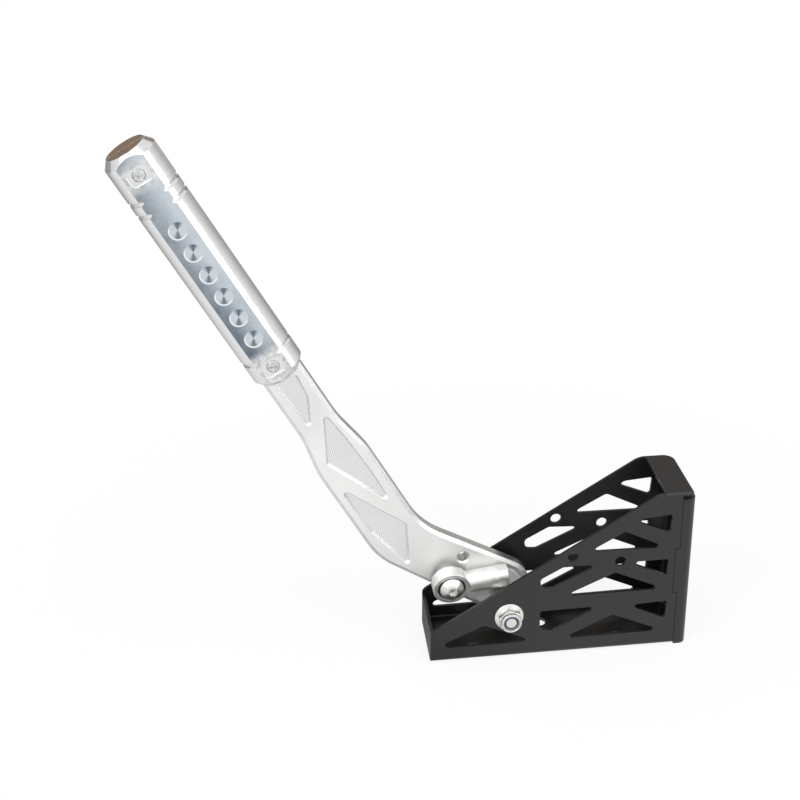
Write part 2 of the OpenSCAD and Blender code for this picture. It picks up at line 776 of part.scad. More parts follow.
module grip_half_near() {
  color(polish) at_grip() difference() {
    grip_half();
    at_screws() {
      upright(-flat_dist - cut, seat_t + cut) polygon(rounded_box(seat_w, seat_len, seat_r));
      along_y(-flat_dist - cut) cylinder(d = grip_head_d + 2 * hole_gap, h = flat_dist - head_seat + cut);
      along_y(-flat_dist) cylinder(d = grip_screw_d + 2 * hole_gap, h = flat_dist + cut);
    }
    for (i = [0 : dimple_n - 1]) translate([0, 0, dimple_first + i * dimple_pitch])
      along_y(-flat_dist) cylinder(d1 = dimple_d, d2 = 0.4, h = dimple_t);
  }
}

module grip_half_far() {
  color(polish) at_grip() difference() {
    mirror([0, 1, 0]) grip_half();
    at_screws() along_y(-head_seat)
      cylinder(d = grip_screw_d + 2 * seat_gap, h = grip_screw_len + hole_gap);
  }
}

module grip_screws() {
  color(zinc) at_grip() at_screws() {
    along_y(-head_seat - grip_head_h) difference() {
      cylinder(d = grip_head_d, h = grip_head_h);
      translate([0, 0, -cut]) hex_prism(grip_socket, grip_head_h / 2 + cut);
    }
    along_y(-head_seat) cylinder(d = grip_screw_d, h = grip_screw_len);
  }
}

module rod_end_body() {
  color(zinc) at_rod_end() rotate([rod_tilt, 0, 0]) difference() {
    union() {
      along_y(-head_w / 2) cylinder(d = head_d, h = head_w);
      difference() {
        rotate([0, 90, 0]) cylinder(d = shank_d, h = shank_len - collar_len);
        for (y = [-shank_d, head_w / 2]) along_y(y) cylinder(d = head_d, h = shank_d - head_w / 2);
      }
      intersection() {
        translate([shank_len - collar_len, -collar_af / 2, -collar_af / 2])
          cube([collar_len, collar_af, collar_af]);
        rotate([0, 90, 0]) cylinder(d = collar_d, h = shank_len + cut);
      }
    }
    along_y(-head_w) cylinder(d = race_d + 2 * seat_gap, h = 2 * head_w);
    translate([shank_len - thread_len, 0, 0]) rotate([0, 90, 0]) cylinder(d = tap_d, h = thread_len + cut);
  }
}

module rod_end_race() {
  color("#2b2c2e") at_rod_end() rotate([rod_tilt, 0, 0]) along_y(0) rotate_extrude() difference() {
    translate([0, -head_w / 2]) square([race_d / 2, head_w]);
    circle(d = ball_d + 2 * run_gap);
  }
}

module rod_end_ball() {
  bore_r = eye_screw_d / 2 + seat_gap;
  color(zinc) at_rod_end() along_y(0) rotate_extrude() intersection() {
    circle(d = ball_d);
    translate([bore_r, -ball_w / 2]) square([ball_d, ball_w]);
  }
}

module rod_end_screw() {
  dome = 2 * eye_head_h;
  color(zinc) at_rod_end() {
    difference() {
      intersection() {
        along_y(-ball_w / 2 - eye_head_h) cylinder(d = eye_head_d, h = eye_head_h);
        translate([0, dome - ball_w / 2 - eye_head_h, 0]) sphere(r = dome);
      }
      along_y(-ball_w / 2 - eye_head_h - cut) hex_prism(eye_socket, eye_head_h * 0.6 + cut);
    }
    along_y(-ball_w / 2) cylinder(d = eye_screw_d, h = arm_far + ball_w / 2);
  }
}

module rod_end_washer() {
  color(zinc) at_rod_end() along_y(ball_w / 2) difference() {
    cylinder(d = washer_d, h = washer_t);
    translate([0, 0, -cut]) cylinder(d = eye_screw_d + 2 * hole_gap, h = washer_t + 2 * cut);
  }
}

bracket_side_near();
bracket_side_far();
bracket_front();
bracket_back();
bracket_top();
pivot_bolt();
pivot_nut();
pivot_nut_ring();
pivot_spacer_near();
pivot_spacer_far();
pivot_bush();
thrust_washer_near();
thrust_washer_far();
lever_arm();
grip_half_near();
grip_half_far();
grip_screws();
rod_end_body();
rod_end_race();
rod_end_ball();
rod_end_screw();
rod_end_washer();
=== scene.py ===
# %% [markdown]
# # A parking brake lever, dressed over its CAD frame
# The real object is a bright aluminium lever on a folded black bracket. The exact solids come from a
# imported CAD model, which this lesson loads first and never changes. Each step then makes one piece as
# the eye sees it, with eased edges and a finish of its own, and ties it to the body that it moves with.

# %% Load the frame
import math

import bpy
from mathutils import Matrix, Vector


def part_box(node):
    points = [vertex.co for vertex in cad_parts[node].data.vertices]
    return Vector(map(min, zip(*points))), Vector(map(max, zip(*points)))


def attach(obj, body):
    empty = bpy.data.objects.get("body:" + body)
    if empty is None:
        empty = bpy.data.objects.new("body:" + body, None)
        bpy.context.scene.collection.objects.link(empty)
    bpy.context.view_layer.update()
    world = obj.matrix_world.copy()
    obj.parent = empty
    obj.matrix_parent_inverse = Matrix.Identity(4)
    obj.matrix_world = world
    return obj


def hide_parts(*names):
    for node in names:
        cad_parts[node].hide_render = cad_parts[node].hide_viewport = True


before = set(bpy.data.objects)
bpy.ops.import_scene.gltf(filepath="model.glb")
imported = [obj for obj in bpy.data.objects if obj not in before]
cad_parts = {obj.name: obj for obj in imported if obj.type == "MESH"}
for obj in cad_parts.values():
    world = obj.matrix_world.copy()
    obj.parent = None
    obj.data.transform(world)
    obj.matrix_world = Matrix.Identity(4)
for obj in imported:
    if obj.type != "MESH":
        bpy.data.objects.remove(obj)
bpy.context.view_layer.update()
scene = bpy.context.scene
MM = 0.001

# %% [markdown]
# ## Camera
# The photograph was taken from the near side, a little from the left and from above, with a long lens.
# A camera could be aimed by eye, but here its place and its three directions were solved from the
# bracket's straight edges, so a matrix of those directions gives exactly the same view.

# %% Place the camera
CAMERA_PLACE = Vector((-221.29, -931.07, 621.69)) * MM
CAMERA_RIGHT = Vector((0.99009, -0.14042, 0.0))
CAMERA_UP = Vector((0.06103, 0.43036, 0.90059))
LENS_MM = 80.58
SENSOR_MM = 36.0
SEES_TO = 50.0

camera_turn = Matrix((CAMERA_RIGHT, CAMERA_UP, CAMERA_RIGHT.cross(CAMERA_UP))).transposed()
bpy.ops.object.select_all(action="DESELECT")
bpy.ops.object.camera_add(location=CAMERA_PLACE, rotation=camera_turn.to_euler())
camera = bpy.context.object
camera.data.lens = LENS_MM
camera.data.sensor_width = SENSOR_MM
camera.data.clip_end = SEES_TO
scene.camera = camera
print("camera at", tuple(round(c, 3) for c in camera.location), "lens", camera.data.lens)

# %% [markdown]
# ## Small tools
# Every operator works on what is selected, so one helper selects exactly the pieces that a step names.
# A copy of a CAD mesh is made of loose triangles: welding them and dissolving the flat joins gives the
# clean faces that a bevel needs. Real parts have no razor edges, and a thin bevel catches the light.

# %% Selecting, welding and copying
WELD = 0.001 * MM
FLAT_ANGLE = math.radians(0.4)


def only(*pieces):
    """Selects these pieces and nothing else; the first one is active."""
    bpy.ops.object.select_all(action="DESELECT")
    for piece in pieces:
        piece.select_set(True)
    bpy.context.view_layer.objects.active = pieces[0]


def weld(piece):
    """Merges the piece's double points and dissolves the joins inside its flat faces."""
    only(piece)
    bpy.ops.object.mode_set(mode="EDIT")
    bpy.ops.mesh.select_all(action="SELECT")
    bpy.ops.mesh.remove_doubles(threshold=WELD)
    bpy.ops.mesh.dissolve_limited(angle_limit=FLAT_ANGLE)
    bpy.ops.object.mode_set(mode="OBJECT")


def welded_copy(node, name):
    """A copy of a CAD node's mesh with its triangles welded and its flat faces whole."""
    piece = bpy.data.objects.new(name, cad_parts[node].data.copy())
    scene.collection.objects.link(piece)
    piece.data.materials.clear()
    only(piece)
    bpy.ops.mesh.customdata_custom_splitnormals_clear()
    weld(piece)
    return piece


# %% Easing, shading and settling
EDGE_ANGLE = math.radians(30)
SMOOTH_ANGLE = math.radians(38)


def ease(piece, width, segments=3, edge_finish=None):
    """Rounds every sharp edge of the piece by this width; the new faces may take their own finish."""
    only(piece)
    bpy.ops.object.modifier_add(type="BEVEL")
    rounding = piece.modifiers[-1]
    rounding.width = width
    rounding.segments = segments
    rounding.limit_method = "ANGLE"
    rounding.angle_limit = EDGE_ANGLE
    if edge_finish:
        piece.data.materials.append(edge_finish)
        rounding.material = len(piece.data.materials) - 1
    bpy.ops.object.modifier_apply(modifier=rounding.name)


def smooth(piece):
    """Shades curves smooth and keeps flats flat."""
    only(piece)
    bpy.ops.object.shade_smooth_by_angle(angle=SMOOTH_ANGLE)
    bpy.ops.object.modifier_add(type="WEIGHTED_NORMAL")
    piece.modifiers[-1].keep_sharp = True
    bpy.ops.object.modifier_apply(modifier=piece.modifiers[-1].name)


def settle(piece, body, slot, material, *nodes):
    """Finishes a piece: shading, material, body, and the CAD nodes that it stands for; slot is not used.
    """
    smooth(piece)
    if not piece.data.materials:
        piece.data.materials.append(material)
    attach(piece, body)
    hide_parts(*nodes)
    print(piece.name, "faces", len(piece.data.polygons), "stands for", ", ".join(nodes))


# %% [markdown]
# ## Shared effects
# Paint, blasted aluminium and zinc all vary a little over their surface. Two node groups hold the
# effects that the finishes share: a fine grain and soft clouds. Each group gives out only masks and
# heights, and every finish mixes them with values of its own.

# %% Node helpers
FLOAT = "NodeSocketFloat"
VECTOR = "NodeSocketVector"


def put(tree, kind, inputs=(), **settings):
    """Adds a node with its settings; each input takes a plain value or another node's output."""
    new = tree.nodes.new(kind)
    for key, value in settings.items():
        setattr(new, key, value)
    for socket, value in dict(inputs).items():
        if isinstance(value, bpy.types.NodeSocket):
            tree.links.new(value, new.inputs[socket])
        else:
            new.inputs[socket].default_value = value
    return new


def effect(name, inputs, outputs):
    """An empty node group with these named float or vector sockets."""
    tree = bpy.data.node_groups.new(name, "ShaderNodeTree")
    for socket, (kind, value) in inputs.items():
        made = tree.interface.new_socket(socket, in_out="INPUT", socket_type=kind)
        if value is not None:
            made.default_value = value
    for socket in outputs:
        tree.interface.new_socket(socket, in_out="OUTPUT", socket_type=FLOAT)
    print("effect:", name)
    return tree, put(tree, "NodeGroupInput").outputs, put(tree, "NodeGroupOutput").inputs


# %% Grain: a fine even noise
grain, given, out = effect("fine_grain", {"Vector": (VECTOR, None), "Scale": (FLOAT, 900.0)},
                           ["Height", "Mask"])
noise = put(grain, "ShaderNodeTexNoise",
            {"Vector": given["Vector"], "Scale": given["Scale"], "Detail": 3.0,
             "Roughness": 0.6}).outputs["Fac"]
contrast = put(grain, "ShaderNodeMapRange", {"Value": noise, "From Min": 0.35, "From Max": 0.65})
grain.links.new(noise, out["Height"])
grain.links.new(contrast.outputs["Result"], out["Mask"])

# %% Clouds: broad soft patches
clouds, given, out = effect("soft_clouds", {"Vector": (VECTOR, None), "Scale": (FLOAT, 30.0)}, ["Mask"])
noise = put(clouds, "ShaderNodeTexNoise",
            {"Vector": given["Vector"], "Scale": given["Scale"], "Detail": 5.0, "Roughness": 0.55,
             "Distortion": 0.4}).outputs["Fac"]
contrast = put(clouds, "ShaderNodeMapRange", {"Value": noise, "From Min": 0.32, "From Max": 0.68})
clouds.links.new(contrast.outputs["Result"], out["Mask"])

# %% [markdown]
# ## From effects to finishes
# A finish is a material whose colour, roughness and bumps come from the effects. Most of them say the
# same few things: go from one tone to another with a mask, spread a number over a mask, or raise the
# surface a little. Each of these is a small function, so that a finish reads like a recipe.

# %% Finish helpers
METAL = 1.0


def finish(name, metallic=0.0):
    """A new material: its tree, its main shader and its Object coordinates."""
    material = bpy.data.materials.new(name)
    material.use_nodes = True
    tree = material.node_tree
    shader = tree.nodes["Principled BSDF"]
    shader.inputs["Metallic"].default_value = metallic
    place = put(tree, "ShaderNodeTexCoord").outputs["Object"]
    print("finish:", name)
    return material, tree, shader, place


def apply_group(tree, group, place, scale):
    """The outputs of a shared effect at this scale."""
    return put(tree, "ShaderNodeGroup", {"Vector": place, "Scale": scale}, node_tree=group).outputs


def blend(tree, mask, first, second):
    """A colour that goes from first to second with the mask."""
    ends = [(*colour, 1.0) if isinstance(colour, tuple) else colour for colour in (first, second)]
    return put(tree, "ShaderNodeMix", {0: mask, 6: ends[0], 7: ends[1]}, data_type="RGBA").outputs[2]


def vary(tree, mask, low, high):
    """A number that goes from low to high with the mask."""
    spread = put(tree, "ShaderNodeMapRange", {"Value": mask, "To Min": low, "To Max": high})
    return spread.outputs["Result"]


def look(tree, shader, colour, rough):
    """Gives the shader its colour and its roughness, which may be one plain number."""
    tree.links.new(colour, shader.inputs["Base Color"])
    if isinstance(rough, float):
        shader.inputs["Roughness"].default_value = rough
    else:
        tree.links.new(rough, shader.inputs["Roughness"])


def bump(tree, shader, height, strength, distance):
    """Raises the surface a little by a height."""
    raised = put(tree, "ShaderNodeBump", {"Height": height, "Strength": strength, "Distance": distance})
    tree.links.new(raised.outputs["Normal"], shader.inputs["Normal"])


# %% [markdown]
# ## Black powder coat
# The bracket is sprayed with black powder and baked, which leaves a half-gloss skin with a faint orange
# peel. A plain black would look like a hole, so the skin has fine bumps and patches that are a little
# duller, and its rounded edges are paler: partly rubbed, partly a painted highlight along each edge.
# Gloss from the pale floor does the rest.

# %% The black coat and its rubbed edge, which also carries a painted highlight
COAT_GLOSS = 0.58


def powder_coat(name, dark, pale, rough):
    """Black powder coat between two tones, with its roughness from low to high."""
    material, tree, shader, place = finish(name)
    peel = apply_group(tree, grain, place, scale=1100.0)
    dull = apply_group(tree, clouds, place, scale=22.0)
    look(tree, shader, blend(tree, dull["Mask"], dark, pale), vary(tree, dull["Mask"], *rough))
    shader.inputs["Specular IOR Level"].default_value = COAT_GLOSS
    bump(tree, shader, peel["Height"], strength=0.12, distance=0.2 * MM)
    return material


black_coat = powder_coat("black_powder_coat", (0.0035, 0.0035, 0.0035), (0.006, 0.0058, 0.0055),
                         (0.33, 0.42))
# The paler edge tone is partly wear and partly a painted highlight along the rounded edges.
rubbed_and_highlit_coat = powder_coat("edge_wear_and_painted_highlight", (0.04, 0.04, 0.039), (0.085, 0.085, 0.082), (0.26, 0.36))

# %% [markdown]
# ## Aluminium finishes
# The arm is milled and then blasted to an even, pale satin. The floors of its pockets keep the fine
# rings of the cutter, and its sawn edges are greyer: partly the cut surface, partly painted shade on
# the side walls. The grip is turned and polished: its round sides are bright, its two flats carry a
# painted reflection of a darker, bluish room, and its end mirrors a darker room. All of them share
# the same effects.

# %% Satin aluminium
satin, tree, shader, place = finish("satin_aluminium", METAL)
blast = apply_group(tree, grain, place, scale=1700.0)
haze = apply_group(tree, clouds, place, scale=26.0)
look(tree, shader, blend(tree, haze["Mask"], (0.80, 0.80, 0.79), (0.87, 0.87, 0.855)),
     vary(tree, haze["Mask"], 0.44, 0.54))
bump(tree, shader, blast["Height"], strength=0.10, distance=0.15 * MM)

# %% Sawn edge, greyer partly as painted shade on the side walls
SAW_STROKES = (1.0, 9.0, 1.0)

sawn_and_shaded, tree, shader, place = finish("saw_cut_and_shaded_aluminium", METAL)
strokes = put(tree, "ShaderNodeMapping", {"Vector": place, "Scale": SAW_STROKES})
saw = apply_group(tree, grain, strokes.outputs["Vector"], scale=260.0)
haze = apply_group(tree, clouds, place, scale=30.0)
# The greyer tone is partly the cut surface and partly painted shade on the side walls.
look(tree, shader, blend(tree, haze["Mask"], (0.60, 0.60, 0.59), (0.76, 0.76, 0.74)),
     vary(tree, saw["Mask"], 0.30, 0.42))
bump(tree, shader, saw["Height"], strength=0.12, distance=0.15 * MM)

# %% Milled pocket floors with the cutter's rings
PIVOT = Vector((-25.9, 0.0, 29.6)) * MM
LEVER_LEAN = math.radians(30.34)
SIDE_VIEW = (1.0, 0.0, 1.0)
RING_PITCH = 1.25 * MM
RING_CENTRES = ((-33.0, 193.0), (-33.0, 137.0), (-33.3, 73.0))


def on_lever(x, z):
    """A point of the lever: x towards its inner side, z along the grip, in millimetres from the pivot."""
    return PIVOT + Matrix.Rotation(-LEVER_LEAN, 3, "Y") @ Vector((x, 0.0, z)) * MM


def number(tree, operation, *values, **settings):
    """The result of one step of arithmetic."""
    step = put(tree, "ShaderNodeMath", dict(enumerate(values)), operation=operation, **settings)
    return step.outputs["Value"]


def vector(tree, operation, *values):
    """The result of one step with vectors, which is a number for a length, distance or dot product."""
    step = put(tree, "ShaderNodeVectorMath", dict(enumerate(values)), operation=operation)
    return step.outputs["Value" if operation in ("LENGTH", "DISTANCE", "DOT_PRODUCT") else "Vector"]


milled, tree, shader, place = finish("milled_pocket", METAL)
flat_place = vector(tree, "MULTIPLY", place, SIDE_VIEW)
away = [vector(tree, "DISTANCE", flat_place, on_lever(*centre)) for centre in RING_CENTRES]
nearest = number(tree, "MINIMUM", number(tree, "MINIMUM", away[0], away[1]), away[2])
rings = number(tree, "SINE", number(tree, "MULTIPLY", nearest, math.tau / RING_PITCH))
ring_mask = put(tree, "ShaderNodeMapRange", {"Value": rings, "From Min": -1.0}).outputs["Result"]
haze = apply_group(tree, clouds, place, scale=40.0)
pale = blend(tree, haze["Mask"], (0.82, 0.82, 0.825), (0.90, 0.90, 0.90))
look(tree, shader, blend(tree, ring_mask, (0.66, 0.66, 0.67), pale), vary(tree, haze["Mask"], 0.34, 0.42))
bump(tree, shader, ring_mask, strength=0.14, distance=0.1 * MM)

# %% Polished round sides of the grip
LATHE_MARKS = (1.0, 1.0, 40.0)

polished, tree, shader, place = finish("polished_aluminium", METAL)
along = put(tree, "ShaderNodeMapping",
            {"Vector": place, "Rotation": (0.0, LEVER_LEAN, 0.0), "Scale": LATHE_MARKS})
lathe = apply_group(tree, grain, along.outputs["Vector"], scale=60.0)
haze = apply_group(tree, clouds, place, scale=45.0)
look(tree, shader, blend(tree, lathe["Mask"], (0.72, 0.725, 0.73), (0.80, 0.80, 0.80)),
     vary(tree, haze["Mask"], 0.15, 0.26))
bump(tree, shader, lathe["Height"], strength=0.05, distance=0.08 * MM)

# %% Where a point lies on the grip, in millimetres
GRIP_OFFSET = -34.8
GRIP_START = 199.6
GRIP_LEN = 161.2
SCREW_IN_LOW = 11.3
SCREW_IN_HIGH = GRIP_LEN - 13.8
FLAT_HALF = 8.0


def grip_axes(tree, place):
    """Millimetres across the grip from its middle line, and along it from its lower end."""
    from_start = vector(tree, "SUBTRACT", place, on_lever(GRIP_OFFSET, GRIP_START))
    upright = put(tree, "ShaderNodeMapping", {"Vector": from_start, "Rotation": (0.0, LEVER_LEAN, 0.0),
                                              "Scale": (1 / MM, 1 / MM, 1 / MM)})
    split = put(tree, "ShaderNodeSeparateXYZ", {"Vector": upright.outputs["Vector"]})
    return split.outputs["X"], split.outputs["Z"]


def slope(tree, value, start, stop, low=0.0, high=1.0):
    """A soft step from low to high while the value goes from start to stop."""
    step = put(tree, "ShaderNodeMapRange",
               {"Value": value, "From Min": start, "From Max": stop, "To Min": low, "To Max": high},
               interpolation_type="SMOOTHSTEP")
    return step.outputs["Result"]


def added(tree, *values):
    """The sum of all values, kept between 0 and 1."""
    total = values[0]
    for value in values[1:]:
        total = number(tree, "ADD", total, value, use_clamp=True)
    return total


# %% Mirror flats of the grip, coloured with a painted reflection, with reaches in millimetres
PAINTED_ROOM_DARK = (0.085, 0.118, 0.155)
PAINTED_ROOM_LIGHT = (0.60, 0.655, 0.705)
LIGHT_ACROSS = 0.62
LIGHT_ALONG = 0.26
LIGHT_RISES = (20.0, 110.0)
LIGHT_PATCHES = 0.22
LIGHT_SMEARS = 0.10
SILVER_END = (18.0, 25.0)
SILVER_ROUND_SCREW = (4.0, 11.0)
SILVER_AT_SCREW = 0.8

# The flats' colour is a painted reflection: a dark bluish room that lightens across and along the grip,
# and painted silver near the low end and round the upper screw.
painted_reflection_flat, tree, shader, place = finish("painted_reflection_flat", METAL)
across, along_grip = grip_axes(tree, place)
room = apply_group(tree, clouds, place, scale=70.0)
smears = apply_group(tree, clouds, place, scale=300.0)
light = added(tree, slope(tree, across, -FLAT_HALF, FLAT_HALF, 0.0, LIGHT_ACROSS),
              slope(tree, along_grip, *LIGHT_RISES, 0.0, LIGHT_ALONG),
              vary(tree, room["Mask"], 0.0, LIGHT_PATCHES), vary(tree, smears["Mask"], 0.0, LIGHT_SMEARS))
painted_room_reflection = blend(tree, light, PAINTED_ROOM_DARK, PAINTED_ROOM_LIGHT)
low_end = slope(tree, along_grip, *SILVER_END, 1.0, 0.0)
off_screw = number(tree, "ABSOLUTE", number(tree, "SUBTRACT", along_grip, SCREW_IN_HIGH))
by_screw = slope(tree, off_screw, *SILVER_ROUND_SCREW, SILVER_AT_SCREW, 0.0)
painted_silver_reflection = blend(tree, smears["Mask"], (0.50, 0.51, 0.51), (0.86, 0.86, 0.85))
look(tree, shader, blend(tree, added(tree, low_end, by_screw), painted_room_reflection, painted_silver_reflection),
     vary(tree, smears["Mask"], 0.12, 0.22))

# %% Dimples, turned with a drill point, with a painted fan of reflection and a painted rim highlight, in millimetres
DIMPLE_FIRST = 32.2
DIMPLE_PITCH = 15.5
DIMPLE_R = 5.4
GROOVE_PITCH = 0.7
DOWN = (-0.35, 0.0, -0.94)
WEDGE_FADES = (-1.0, 2.5)
FAN_OPENS = (0.12, 0.75)
RIM_REACH = (0.80 * DIMPLE_R, 0.90 * DIMPLE_R)
RIM_LIGHTS_UP = (-1.0, 1.5)

dimple_with_painted_fan, tree, shader, place = finish("turned_dimple", METAL)
across, along_grip = grip_axes(tree, place)
shifted = number(tree, "ADD", along_grip, DIMPLE_PITCH / 2 - DIMPLE_FIRST)
in_pitch = number(tree, "MODULO", shifted, DIMPLE_PITCH)
from_middle = number(tree, "SUBTRACT", in_pitch, DIMPLE_PITCH / 2)
spot = put(tree, "ShaderNodeCombineXYZ", {"X": across, "Z": from_middle}).outputs["Vector"]
level = put(tree, "ShaderNodeMapping",
            {"Vector": spot, "Rotation": (0.0, -LEVER_LEAN, 0.0)}).outputs["Vector"]
spoke = put(tree, "ShaderNodeSeparateXYZ", {"Vector": vector(tree, "NORMALIZE", level)})
sideways = number(tree, "ABSOLUTE", spoke.outputs["X"])
reach = vector(tree, "LENGTH", spot)
grooves = number(tree, "SINE", number(tree, "MULTIPLY", reach, math.tau / GROOVE_PITCH))
downward = vector(tree, "DOT_PRODUCT", level, DOWN)
# Painted reflection: dark wedges above and below each dimple's centre and light wedges to the sides.
painted_dark_wedge = blend(tree, slope(tree, downward, *WEDGE_FADES), (0.15, 0.19, 0.235), (0.20, 0.235, 0.27))
painted_fan = blend(tree, slope(tree, sideways, *FAN_OPENS), painted_dark_wedge, (0.62, 0.66, 0.70))
rim = slope(tree, reach, *RIM_REACH)
# A painted highlight on the lower rim of each dimple.
painted_rim_highlight = number(tree, "MULTIPLY", rim, slope(tree, downward, *RIM_LIGHTS_UP))
look(tree, shader, blend(tree, painted_rim_highlight, painted_fan, (0.92, 0.93, 0.93)),
     slope(tree, reach, 0.0, DIMPLE_R, 0.16, 0.28))
bump(tree, shader, grooves, strength=0.08, distance=0.05 * MM)

# %% Mirror end of the grip
mirror_end, tree, shader, place = finish("mirror_end", METAL)
smears = apply_group(tree, clouds, place, scale=220.0)
look(tree, shader, blend(tree, smears["Mask"], (0.66, 0.65, 0.64), (0.74, 0.735, 0.73)),
     vary(tree, smears["Mask"], 0.04, 0.09))

# %% [markdown]
# ## Zinc, steel, bronze and plastic
# The screws, the nut and the rod end are steel plated with zinc, which is a shade darker than aluminium
# and slightly warm. The bush is bearing bronze, and the rod end's liner a dark woven film, made near
# black as painted shade for the gap round its screw head. The nut's locking ring is bluish nylon, darker
# close to the bolt, the bolt's thread is painted dark as shade in the nut's mouth, and the thrust washers
# are white. Fine grain and soft patches suit such small pieces.

# %% Bright zinc
zinc, tree, shader, place = finish("bright_zinc", METAL)
plate = apply_group(tree, grain, place, scale=1400.0)
haze = apply_group(tree, clouds, place, scale=120.0)
look(tree, shader, blend(tree, haze["Mask"], (0.66, 0.67, 0.64), (0.78, 0.79, 0.76)),
     vary(tree, haze["Mask"], 0.30, 0.42))
bump(tree, shader, plate["Height"], strength=0.06, distance=0.1 * MM)

# %% Forged zinc of the rod end, and the milled bevel of the arm
def dull_metal(name, dark, pale, rough):
    """Metal with a forged or cut skin, duller than a turned one."""
    material, tree, shader, place = finish(name, METAL)
    skin = apply_group(tree, grain, place, scale=900.0)
    haze = apply_group(tree, clouds, place, scale=150.0)
    look(tree, shader, blend(tree, haze["Mask"], dark, pale), vary(tree, haze["Mask"], *rough))
    bump(tree, shader, skin["Height"], strength=0.10, distance=0.12 * MM)
    return material


forged = dull_metal("forged_zinc", (0.74, 0.745, 0.72), (0.88, 0.885, 0.86), (0.46, 0.6))
bevel_cut = dull_metal("milled_bevel", (0.66, 0.66, 0.655), (0.76, 0.76, 0.75), (0.45, 0.55))

# %% Plain finishes: one grain, two tones and no bumps
def plain(name, metallic, scale, dark, pale, rough):
    """A finish between two tones; rough is one number, or a low and a high one."""
    material, tree, shader, place = finish(name, metallic)
    marks = apply_group(tree, grain, place, scale=scale)["Mask"]
    look(tree, shader, blend(tree, marks, dark, pale),
         rough if isinstance(rough, float) else vary(tree, marks, *rough))
    return material


steel = plain("bright_steel", METAL, 520.0, (0.40, 0.415, 0.425), (0.88, 0.89, 0.90), (0.14, 0.3))
# The thread and the tip's bevel are painted near black as painted shade in the nut's mouth.
shaded_thread_steel = plain("thread_in_painted_shade", METAL, 1800.0, (0.06, 0.06, 0.07), (0.16, 0.16, 0.18), 0.4)
# The liner's near-black colour is partly its own and partly painted shade for the gap round the screw
# head.
dark_liner = plain("dark_liner", 0.0, 1900.0, (0.012, 0.012, 0.013), (0.035, 0.035, 0.036), (0.5, 0.7))
bronze = plain("bearing_bronze", METAL, 2200.0, (0.42, 0.30, 0.15), (0.62, 0.46, 0.25), (0.30, 0.45))

# %% Nylon ring, darker close to the bolt, and white washers
DARKER_WITHIN_R = 4.9 * MM
PALE_R = 5.2 * MM
PLASTIC_ROUGH = 0.38


def plastic(name, dark, pale, near_bolt_tone=None):
    """Moulded plastic between two tones; close to the pivot's axis it may take a darker tone."""
    material, tree, shader, place = finish(name)
    moulded = apply_group(tree, grain, place, scale=1500.0)
    colour = blend(tree, moulded["Mask"], dark, pale)
    if near_bolt_tone:
        away = vector(tree, "DISTANCE", vector(tree, "MULTIPLY", place, SIDE_VIEW), PIVOT)
        outside = put(tree, "ShaderNodeMapRange",
                      {"Value": away, "From Min": DARKER_WITHIN_R, "From Max": PALE_R})
        colour = blend(tree, outside.outputs["Result"], near_bolt_tone, colour)
    look(tree, shader, colour, PLASTIC_ROUGH)
    bump(tree, shader, moulded["Height"], strength=0.05, distance=0.1 * MM)
    return material


nylon = plastic("nylon_ring", (0.62, 0.66, 0.80), (0.78, 0.81, 0.90), (0.17, 0.165, 0.20))
acetal = plastic("white_acetal", (0.78, 0.78, 0.77), (0.88, 0.88, 0.87))
print("finishes in all:", len(bpy.data.materials))

# %% [markdown]
# ## The folded bracket
# The bracket is one laser-cut sheet, folded up at the front and the far rear and closed by a tabbed seam
# at the near rear corner. The CAD holds it as plates. Joining welded copies with a union makes the sheet
# whole again at its folds, so that the bevel runs only along real edges and not across a bend.

# %% Joining and cutting
def combine(piece, other, operation):
    """Joins piece to other, cuts it by other or keeps what they share, and deletes other."""
    only(piece)
    bpy.ops.object.modifier_add(type="BOOLEAN")
    change = piece.modifiers[-1]
    change.operation = operation
    change.solver = "EXACT"
    change.object = other
    bpy.ops.object.modifier_apply(modifier=change.name)
    only(other)
    bpy.ops.object.delete()
    weld(piece)


# %% Join the sheet
PAINT_EASE = 0.35 * MM

bracket_sheet = welded_copy("bracket_side_near", "bracket_sheet")
for plate_node in ("bracket_front", "bracket_side_far", "bracket_back"):
    combine(bracket_sheet, welded_copy(plate_node, plate_node + "_copy"), "UNION")
bracket_sheet.data.materials.append(black_coat)
# The bevel's faces take the paler edge finish: rubbing and a painted highlight.
ease(bracket_sheet, PAINT_EASE, edge_finish=rubbed_and_highlit_coat)
settle(bracket_sheet, "bracket", "black_paint", black_coat,
       "bracket_side_near", "bracket_side_far", "bracket_front", "bracket_back")

# %% The top cap keeps its own seam
bracket_cap = welded_copy("bracket_top", "bracket_cap")
bracket_cap.data.materials.append(black_coat)
# The cap's bevel faces take the same rubbing and painted highlight.
ease(bracket_cap, PAINT_EASE, edge_finish=rubbed_and_highlit_coat)
settle(bracket_cap, "bracket", "black_paint", black_coat, "bracket_top")

# %% [markdown]
# ## The lever arm
# The arm is cut from plate and milled. It could be redrawn from its outline, but the welded CAD copy
# already has the bevel, the pockets and the holes, so it lacks only a countersunk mouth on its spare eye
# and a fine rounding. Its faces are then sorted by where they look and how deep they lie, and each sort
# gets its own finish.

# %% A new solid, with its place and turn in its mesh
def solid(add, **options):
    """Runs one of Blender's primitive operators and applies the new piece's place and turn."""
    bpy.ops.object.select_all(action="DESELECT")
    add(**options)
    bpy.ops.object.transform_apply(location=True, rotation=True, scale=True)
    return bpy.context.object


# %% The spare eye's mouth and the arm's rounding
ARM_EASE = 0.4 * MM
ARM_FACES = (7.6 * MM, 17.6 * MM)
SPARE_EYE = Vector((-48.82, 0.0, 53.75)) * MM
MOUTH_R = 4.4 * MM
MOUTH_SIDES = 48
MOUTH_PROUD = 0.1 * MM

